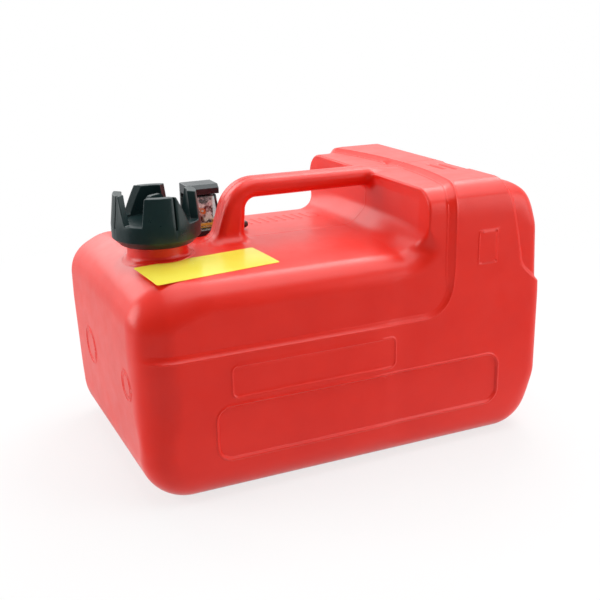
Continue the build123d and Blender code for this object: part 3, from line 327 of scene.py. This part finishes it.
def crossing_quads(inside, index):
    """A quad for each grid edge that the surface crosses, between the points of the four cells
    around it. The index gives each cell's point."""
    faces = []
    for axis in range(3):
        o1, o2 = (axis + 1) % 3, (axis + 2) % 3
        first = [slice(1, -1)] * 3
        first[axis] = slice(None, -1)
        second = list(first)
        second[axis] = slice(1, None)
        a, b = inside[tuple(first)], inside[tuple(second)]
        for mask, flip in ((a & ~b, False), (b & ~a, True)):
            at = np.argwhere(mask)
            at[:, o1] += 1
            at[:, o2] += 1
            quad = []
            for s1, s2 in ((1, 1), (0, 1), (0, 0), (1, 0)):
                cell = at.copy()
                cell[:, o1] -= s1
                cell[:, o2] -= s2
                quad.append(index[cell[:, 0], cell[:, 1], cell[:, 2]])
            faces.append(np.stack(quad[::-1] if flip else quad, 1))
    return np.concatenate(faces)


def surface_net(field, low, high, step):
    """A closed quad mesh on the field's zero level, with a point in each cell of a regular grid that
    the surface crosses."""
    axes = [np.arange(low[i], high[i] + step, step) for i in range(3)]
    values = field(axes[0][:, None, None], axes[1][None, :, None], axes[2][None, None, :])
    inside = values < 0
    count = sum(inside[corner].astype(int) for corner in itertools.product(CELL_SIDES, repeat=3))
    cells = (count > 0) & (count < 8)
    index = np.full(cells.shape, -1)
    index[cells] = np.arange(cells.sum())
    points = (np.argwhere(cells) + mean_crossings(values, cells)) * step + [a[0] for a in axes]
    return points, crossing_quads(inside, index)


def gradient(field, points, reach=0.05):
    """The field's slope at the points, one row each."""
    out = np.empty_like(points)
    for i in range(3):
        d = np.zeros(3)
        d[i] = reach
        ahead, behind = points + d, points - d
        out[:, i] = field(*ahead.T) - field(*behind.T)
    return out / (2 * reach)


def settle(field, points, rounds, flattest=0.2, longest=1.5):
    """Moves points onto the field's zero level, about `longest` mm at most in a round. Where the field
    is flat, its slope squared counts as `flattest`."""
    for _ in range(rounds):
        slope = gradient(field, points)
        fall = field(*points.T) / np.maximum((slope * slope).sum(1), flattest)
        points = points - slope * np.clip(fall, -longest, longest)[:, None]
    return points


def refine(field, points, faces, error, shortest, rounds):
    """Splits the edges whose middles lie off the surface by more than error."""
    for _ in range(rounds):
        corner = [faces[:, i].astype(np.int64) for i in range(3)]
        pairs = np.concatenate([np.stack((corner[i], corner[(i + 1) % 3]), 1) for i in range(3)])
        pairs.sort(axis=1)
        keys, back = np.unique(pairs[:, 0] * len(points) + pairs[:, 1], return_inverse=True)
        a, b = keys // len(points), keys % len(points)
        middle = (points[a] + points[b]) / 2
        length = np.linalg.norm(points[a] - points[b], axis=1)
        split = (np.abs(field(*middle.T)) > error) & (length > 2 * shortest)
        fresh = np.full(len(keys), -1)
        fresh[split] = len(points) + np.arange(split.sum())
        points = np.concatenate((points, settle(field, middle[split], 3)))
        mids = fresh[back].reshape(3, -1)
        kinds = (mids >= 0).sum(0)
        made = [faces[kinds == 0]]
        for first in range(3):
            c0, c1, c2 = (corner[(first + i) % 3] for i in range(3))
            m0, m1, m2 = (mids[(first + i) % 3] for i in range(3))
            one = (kinds == 1) & (m0 >= 0)
            made.append(np.stack((c0[one], m0[one], c2[one]), 1))
            made.append(np.stack((m0[one], c1[one], c2[one]), 1))
            two = (kinds == 2) & (m2 < 0)
            made.append(np.stack((m0[two], c1[two], m1[two]), 1))
            made.append(np.stack((c0[two], m0[two], m1[two]), 1))
            made.append(np.stack((c0[two], m1[two], c2[two]), 1))
        all3 = kinds == 3
        c0, c1, c2 = (c[all3] for c in corner)
        m0, m1, m2 = (m[all3] for m in mids)
        for trio in ((c0, m0, m2), (m0, c1, m1), (m2, m1, c2), (m0, m1, m2)):
            made.append(np.stack(trio, 1))
        faces = np.concatenate(made)
    return points, faces


def mesh_object(name, points, faces):
    """A smooth object from points in millimetres and faces that all have as many corners."""
    mesh = bpy.data.meshes.new(name)
    size = faces.shape[1]
    mesh.vertices.add(len(points))
    mesh.vertices.foreach_set("co", (points * MM).astype(np.float32).ravel())
    mesh.loops.add(faces.size)
    mesh.loops.foreach_set("vertex_index", faces.astype(np.int32).ravel())
    mesh.polygons.add(len(faces))
    mesh.polygons.foreach_set("loop_start", np.arange(0, faces.size, size, dtype=np.int32))
    mesh.update()
    mesh.validate()
    mesh.shade_smooth()
    obj = bpy.data.objects.new(name, mesh)
    bpy.context.scene.collection.objects.link(obj)
    return obj


def split_quads(points, quads):
    """Two triangles for each quad, along its shorter diagonal."""
    a, b, c, d = (quads[:, i] for i in range(4))
    short = (np.linalg.norm(points[a] - points[c], axis=1)
             <= np.linalg.norm(points[b] - points[d], axis=1))[:, None]
    first = np.where(short, np.stack((a, b, c), 1), np.stack((a, b, d), 1))
    second = np.where(short, np.stack((a, c, d), 1), np.stack((b, c, d), 1))
    return np.concatenate((first, second))


def cut_away(obj, cutter):
    """Takes the cutter's form out of the object and deletes the cutter."""
    modifier = obj.modifiers.new("cut", "BOOLEAN")
    modifier.operation = "DIFFERENCE"
    modifier.solver = "MANIFOLD"
    modifier.object = cutter
    evaluated = obj.evaluated_get(bpy.context.evaluated_depsgraph_get())
    mesh = bpy.data.meshes.new_from_object(evaluated)
    obj.modifiers.clear()
    obj.data = mesh
    bpy.data.objects.remove(cutter)


def plug(name, outline, low, high):
    """A prism over a ring of (x, y) points."""
    ring = np.array(outline, float)
    n = len(ring)
    points = np.concatenate([np.column_stack((ring, np.full(n, h))) for h in (low, high)]
                            + [[(*ring.mean(0), low), (*ring.mean(0), high)]])
    i = np.arange(n)
    j = (i + 1) % n
    faces = np.concatenate((np.stack((i, j, j + n), 1), np.stack((i, j + n, i + n), 1),
                            np.stack((j, i, np.full(n, 2 * n)), 1),
                            np.stack((i + n, j + n, np.full(n, 2 * n + 1)), 1)))
    return mesh_object(name, points, faces)


BOX = ((-195, -126, -5), (195, 126, 246))  # holds the whole tank
GRID, QUICK_GRID, HOLLOW_GRID = 3.0, 4.0, 6.0
LARGEST_ERROR, SHORTEST_EDGE = 0.035, 0.55


def outer_skin():
    grid, rounds = ((GRID, 3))
    points, quads = surface_net(tank, *BOX, grid)
    points = settle(tank, points, 5)
    faces = split_quads(points, quads)
    return refine(tank, points, faces, LARGEST_ERROR, SHORTEST_EDGE, rounds)


def inner_skin():
    points, quads = surface_net(cavity, *BOX, HOLLOW_GRID)
    points = settle(cavity, points, 4)
    return points, split_quads(points, quads)


def bore_outline():
    turn = np.radians(np.arange(0, 360, 3))
    return np.column_stack((NECK[0] + NECK_BORE * np.cos(turn), NECK[1] + NECK_BORE * np.sin(turn)))


def port_outline():
    """A rounded rectangle through the deck, under the gauge and outlet unit."""
    ring = []
    for quarter, (side_x, side_y) in enumerate(((1, 1), (-1, 1), (-1, -1), (1, -1))):
        for turn in np.radians(np.arange(0, 91, 15) + 90 * quarter):
            ring.append((UNIT[0] + side_x * PORT_HALF_LENGTH + PORT_ROUNDING * math.cos(turn),
                         UNIT[1] + side_y * PORT_HALF_WIDTH + PORT_ROUNDING * math.sin(turn)))
    return ring


def normals_from_field(obj, field, near=0.3):
    """Takes the normals from the field where the mesh lies on it. Cut faces keep their own."""
    mesh = obj.data
    mesh.shade_smooth()
    points = np.empty(len(mesh.vertices) * 3, np.float32)
    mesh.vertices.foreach_get("co", points)
    points = points.reshape(-1, 3).astype(float) / MM
    slope = gradient(field, points)
    slope /= np.maximum(np.linalg.norm(slope, axis=1), 1e-9)[:, None]
    slope[np.abs(field(*points.T)) > near] = 0
    mesh.normals_split_custom_set_from_vertices(slope.tolist())


def make_tank():
    shell = mesh_object("tank_body", *outer_skin())
    cut_away(shell, mesh_object("hollow", *inner_skin()))
    cut_away(shell, plug("bore", bore_outline(), 165, 215))
    cut_away(shell, plug("port", port_outline(), 165, 195))
    normals_from_field(shell, tank)
    return shell


# ---- materials -----------------------------------------------------------------------------------
def material(name, **values):
    """A Principled material. The values are set on its sockets."""
    made = bpy.data.materials.new(name)
    made.use_nodes = True
    shader = made.node_tree.nodes["Principled BSDF"]
    for key, value in values.items():
        shader.inputs[key.replace("_", " ")].default_value = value
    return made, made.node_tree, shader


def node(tree, kind, inputs=(), **settings):
    """A new node. An input takes a value, or a link where another node's socket is given."""
    made = tree.nodes.new(kind)
    for key, value in settings.items():
        setattr(made, key, value)
    for key, value in dict(inputs).items():
        if isinstance(value, bpy.types.NodeSocket):
            tree.links.new(value, made.inputs[key])
        else:
            made.inputs[key].default_value = value
    return made


def noise(tree, scale, detail=3.0, roughness=0.5):
    place = node(tree, "ShaderNodeTexCoord").outputs["Object"]
    return node(tree, "ShaderNodeTexNoise", {"Vector": place, "Scale": scale, "Detail": detail,
                                             "Roughness": roughness}).outputs["Fac"]


def map_range(tree, value, from_low, from_high, to_low, to_high):
    """The value mapped from one range to another, and kept inside it."""
    made = node(tree, "ShaderNodeMapRange", {"Value": value, "From Min": from_low,
                                             "From Max": from_high, "To Min": to_low,
                                             "To Max": to_high})
    return made.outputs["Result"]


def spread(tree, value, low, high):
    """A noise value stretched to run from low to high."""
    return map_range(tree, value, 0.3, 0.7, low, high)


def maths(tree, operation, a, b):
    return node(tree, "ShaderNodeMath", {0: a, 1: b}, operation=operation).outputs[0]


def between(tree, factor, a, b):
    """A number that goes from a to b with the factor."""
    return node(tree, "ShaderNodeMix", {0: factor, 2: a, 3: b}).outputs[0]


def mixed(tree, factor, a, b):
    """A colour that goes from a to b with the factor."""
    colours = {6: (*a, 1), 7: (*b, 1)}
    return node(tree, "ShaderNodeMix", {0: factor, **colours}, data_type="RGBA").outputs[2]


def bumped(tree, shader, height, depth_mm):
    bump = node(tree, "ShaderNodeBump", {"Height": height, "Distance": depth_mm * MM, "Strength": 1.0})
    tree.links.new(bump.outputs["Normal"], shader.inputs["Normal"])


def moulded(name, dark, light, rough_low, rough_high, grain_mm=0.6, grain_depth=0.012, **values):
    """Moulded plastic: slow changes of colour, a fine grain and an uneven gloss."""
    made, tree, shader = material(name, **values)
    clouds = noise(tree, 28, 4)
    tint = mixed(tree, spread(tree, clouds, 0, 1), dark, light)
    tree.links.new(tint, shader.inputs["Base Color"])
    tree.links.new(spread(tree, noise(tree, 60, 5, 0.6), rough_low, rough_high),
                   shader.inputs["Roughness"])
    bumped(tree, shader, noise(tree, 1000 / grain_mm, 3), grain_depth)
    return made


def painted_glint_dial():
    """The dial behind the lens: bright and dark patches painted into its colour stand in for glints;
    its uneven gloss, partly metallic shine and crinkled bump add real ones.
    """
    made, tree, shader = material("dial_painted_glints", Metallic=0.3)
    # Painted glints: noise spread into bright and dark patches of the base colour.
    painted_glints = spread(tree, noise(tree, 210, 4, 0.6), -1.1, 2.1)
    tint = mixed(tree, painted_glints, (0.03, 0.035, 0.035), (0.85, 0.86, 0.84))
    tree.links.new(tint, shader.inputs["Base Color"])
    tree.links.new(spread(tree, noise(tree, 400), 0.12, 0.3), shader.inputs["Roughness"])
    bumped(tree, shader, noise(tree, 260, 2), 0.6)
    return made


def clear_plastic():
    """Clear and slightly uneven. Light for what lies behind it passes straight through."""
    made, tree, shader = material("clear_lens", Roughness=0.06, IOR=1.49, Transmission_Weight=1.0)
    tint = mixed(tree, spread(tree, noise(tree, 90, 3), 0, 1), (0.90, 0.92, 0.92), (0.97, 0.97, 0.97))
    tree.links.new(tint, shader.inputs["Base Color"])
    bumped(tree, shader, noise(tree, 250, 2), 0.02)
    clear = node(tree, "ShaderNodeBsdfTransparent", {"Color": (0.92, 0.94, 0.94, 1)})
    shadow = node(tree, "ShaderNodeLightPath").outputs["Is Shadow Ray"]
    blend = node(tree, "ShaderNodeMixShader", {0: shadow, 1: shader.outputs[0], 2: clear.outputs[0]})
    tree.links.new(blend.outputs[0], tree.nodes["Material Output"].inputs["Surface"])
    return made


def paint(obj, made):
    obj.data.materials.clear()
    obj.data.materials.append(made)


# ---- pieces --------------------------------------------------------------------------------------
def softened(node_name, width_mm, made):
    """A copy of a CAD piece with its sharp outer edges rounded."""
    mesh = nodes[node_name].data.copy()
    form = bmesh.new()
    form.from_mesh(mesh)
    bmesh.ops.remove_doubles(form, verts=form.verts, dist=2e-6)
    bmesh.ops.dissolve_limit(form, angle_limit=math.radians(0.05), verts=form.verts,
                             edges=form.edges)
    form.to_mesh(mesh)
    form.free()
    piece = bpy.data.objects.new(node_name + "_soft", mesh)
    bpy.context.scene.collection.objects.link(piece)
    modifier = piece.modifiers.new("bevel", "BEVEL")
    modifier.width, modifier.segments = width_mm * MM, 2
    modifier.limit_method, modifier.angle_limit = "ANGLE", math.radians(40)
    modifier.harden_normals = True
    evaluated = piece.evaluated_get(bpy.context.evaluated_depsgraph_get())
    fresh = bpy.data.meshes.new_from_object(evaluated)
    piece.modifiers.clear()
    piece.data = fresh
    paint(piece, made)
    return piece


red = moulded("red_polyethylene", (0.77, 0.015, 0.005), (0.82, 0.019, 0.007), 0.28, 0.36,
              grain_mm=0.8, grain_depth=0.010, Specular_IOR_Level=0.43,
              Sheen_Weight=0.06, Sheen_Roughness=0.35)
black = moulded("cap_plastic", (0.007, 0.020, 0.021), (0.011, 0.028, 0.029), 0.26, 0.36,
                Specular_IOR_Level=0.32)
unit_black = moulded("unit_plastic", (0.010, 0.020, 0.024), (0.016, 0.028, 0.033), 0.2, 0.32,
                     Specular_IOR_Level=0.5)
rubber = moulded("black_rubber", (0.012, 0.012, 0.012), (0.022, 0.021, 0.020), 0.55, 0.75)
amber = moulded("amber_seal", (0.70, 0.33, 0.03), (0.80, 0.42, 0.05), 0.3, 0.45)
steel = moulded("screw_steel", (0.50, 0.50, 0.51), (0.62, 0.62, 0.63), 0.2, 0.4, Metallic=1.0)
works = moulded("works_plastic", (0.52, 0.50, 0.44), (0.62, 0.60, 0.54), 0.35, 0.5)
orange = moulded("pointer_plastic", (0.62, 0.12, 0.02), (0.72, 0.17, 0.03), 0.35, 0.5)
foam = moulded("float_foam", (0.012, 0.012, 0.012), (0.03, 0.03, 0.03), 0.7, 0.9)
brass = moulded("barb_brass", (0.05, 0.05, 0.05), (0.10, 0.09, 0.08), 0.25, 0.4, Metallic=0.6)
yellow = moulded("label_film", (0.86, 0.74, 0.05), (0.93, 0.82, 0.10), 0.18, 0.28)

tank_body = make_tank()
paint(tank_body, red)
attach(tank_body, "tank")
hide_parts("tank_shell")

for made, names in (
        (black, ("cap_body", "vent_knob")),
        (unit_black, ("withdrawal_flange", "gauge_guard")),
        (rubber, ("cap_gasket", "vent_seal", "flange_gasket", "barb_seal")),
        (amber, ("lens_seal",)),
        (steel, ("flange_screws", "float_pin")),
        (painted_glint_dial(), ("gauge_dial",)),
        (works, ("float_bracket", "gauge_rack", "pointer_pinion", "float_arm", "pickup_tube",
                 "pickup_strainer")),
        (orange, ("pointer",)),
        (foam, ("float",)),
        (brass, ("hose_barb",)),
        (yellow, ("warning_label",)),
        (clear_plastic(), ("gauge_lens",))):
    for name in names:
        paint(nodes[name], made)

soft_cap = softened("cap_body", 0.5, black)
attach(soft_cap, "cap")
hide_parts("cap_body")


# ---- floor, light and camera ---------------------------------------------------------------------
def background_rays(tree):
    """1 for the rays that show the background: straight from the camera, mirrored or through glass."""
    rays = node(tree, "ShaderNodeLightPath").outputs
    seen = maths(tree, "MAXIMUM", rays["Is Camera Ray"], rays["Is Glossy Ray"])
    return maths(tree, "MAXIMUM", seen, rays["Is Transmission Ray"])


def mirrored_floor(tree, place):
    """The floor's brightness in the object's gloss: a bright strip along the object's foot, dark
    further in front and dimmer behind. At the left end the strip lies further back."""
    parts = node(tree, "ShaderNodeSeparateXYZ", {0: place}).outputs
    left_end = map_range(tree, parts["X"], -0.30, -0.12, -0.22, 0.0)
    depth = maths(tree, "ADD", parts["Y"], left_end)
    in_front = map_range(tree, depth, -0.26, -0.15, 0.04, 1.0)
    behind = map_range(tree, depth, -0.14, -0.02, 1.0, 0.6)
    return maths(tree, "MULTIPLY", in_front, behind)


def white_floor():
    """White where the background shows, and a pale floor that takes the shadow near the object."""
    made, tree, shader = material("floor_white", Roughness=0.9)
    speckle = mixed(tree, spread(tree, noise(tree, 3), 0, 1), (0.86, 0.86, 0.86), (0.88, 0.88, 0.88))
    tree.links.new(speckle, shader.inputs["Base Color"])
    place = node(tree, "ShaderNodeTexCoord").outputs["Object"]
    away = node(tree, "ShaderNodeVectorMath", {0: place}, operation="LENGTH").outputs["Value"]
    white_share = maths(tree, "MULTIPLY", map_range(tree, away, 0.25, 0.75, 0.75, 1.0),
                        background_rays(tree))
    mirror = node(tree, "ShaderNodeLightPath").outputs["Is Glossy Ray"]
    strength = between(tree, mirror, 1.0, mirrored_floor(tree, place))
    glow = node(tree, "ShaderNodeEmission", {"Color": (1, 1, 1, 1), "Strength": strength})
    blend = node(tree, "ShaderNodeMixShader", {0: white_share, 1: shader.outputs[0],
                                               2: glow.outputs[0]})
    tree.links.new(blend.outputs[0], tree.nodes["Material Output"].inputs["Surface"])
    return made


FLOOR_HALF = 4.0
floor_mesh = bpy.data.meshes.new("floor")
floor_mesh.from_pydata([(-FLOOR_HALF, -FLOOR_HALF, 0), (FLOOR_HALF, -FLOOR_HALF, 0),
                        (FLOOR_HALF, FLOOR_HALF, 0), (-FLOOR_HALF, FLOOR_HALF, 0)], [],
                       [(0, 1, 2, 3)])
floor = bpy.data.objects.new("floor", floor_mesh)
bpy.context.scene.collection.objects.link(floor)
floor.data.materials.append(white_floor())

# The world is white to the camera and through glass. Gloss shows it bright towards the back and top
# and dark in front, and it lights the object softly from all sides.
SOFT_LIGHT = 0.24
BRIGHT_SIDE = (0.30, 0.75, 0.59)
world = bpy.data.worlds.new("studio")
bpy.context.scene.world = world
world.use_nodes = True
tree = world.node_tree
rays = node(tree, "ShaderNodeLightPath").outputs
direction = node(tree, "ShaderNodeTexCoord").outputs["Generated"]
facing = node(tree, "ShaderNodeVectorMath", {0: direction, 1: BRIGHT_SIDE}, operation="DOT_PRODUCT")
studio = map_range(tree, facing.outputs["Value"], -0.5, 0.3, 0.05, 1.0)
level = between(tree, rays["Is Glossy Ray"], SOFT_LIGHT, studio)
straight = maths(tree, "MAXIMUM", rays["Is Camera Ray"], rays["Is Transmission Ray"])
level = between(tree, straight, level, 1.0)
background = tree.nodes["Background"]
background.inputs["Color"].default_value = (1, 1, 1, 1)
tree.links.new(level, background.inputs["Strength"])


def lamp(name, place, aim, width, height, power):
    """A soft rectangular lamp, in metres and watts."""
    data = bpy.data.lights.new(name, "AREA")
    data.shape = "RECTANGLE"
    data.size, data.size_y, data.energy = width, height, power
    obj = bpy.data.objects.new(name, data)
    obj.location = place
    obj.rotation_mode = "QUATERNION"
    obj.rotation_quaternion = (Vector(aim) - Vector(place)).to_track_quat("-Z", "Y")
    bpy.context.scene.collection.objects.link(obj)


lamp("overhead", (0.35, 0.0, 1.25), (0.1, 0, 0.1), 1.5, 1.5, 16)
lamp("back_right", (0.75, 0.85, 1.35), (0.05, 0, 0.15), 0.8, 0.8, 6)
lamp("back_left", (-0.4, 1.35, 0.9), (0, 0, 0.15), 1.0, 0.8, 5)
lamp("left_side", (-1.3, 0.5, 0.6), (0, 0, 0.1), 0.9, 0.9, 11)
lamp("front", (1.1, -0.9, 0.5), (0.17, 0, 0.14), 0.9, 0.9, 7)

# The camera's place, axes and focal length come from a fit to the photograph.
CAMERA_PLACE = (-0.36339, -0.79125, 0.39919)
CAMERA_RIGHT = Vector((0.90610, -0.42277, -0.01559))
CAMERA_UP = Vector((0.14301, 0.27140, 0.95178))
CAMERA_AHEAD = Vector((0.39815, 0.86464, -0.30638))
SENSOR_MM, FOCAL_LENGTH_MM = 36, 58.341
camera = bpy.data.objects.new("camera", bpy.data.cameras.new("camera"))
bpy.context.scene.collection.objects.link(camera)
bpy.context.scene.camera = camera
camera.data.sensor_width, camera.data.lens = SENSOR_MM, FOCAL_LENGTH_MM
axes = Matrix((CAMERA_RIGHT, CAMERA_UP, -CAMERA_AHEAD)).transposed()
camera.matrix_world = Matrix.Translation(CAMERA_PLACE) @ axes.to_4x4()
camera.data.clip_start, camera.data.clip_end = 0.05, 20
bpy.context.scene.view_settings.view_transform = "Standard"
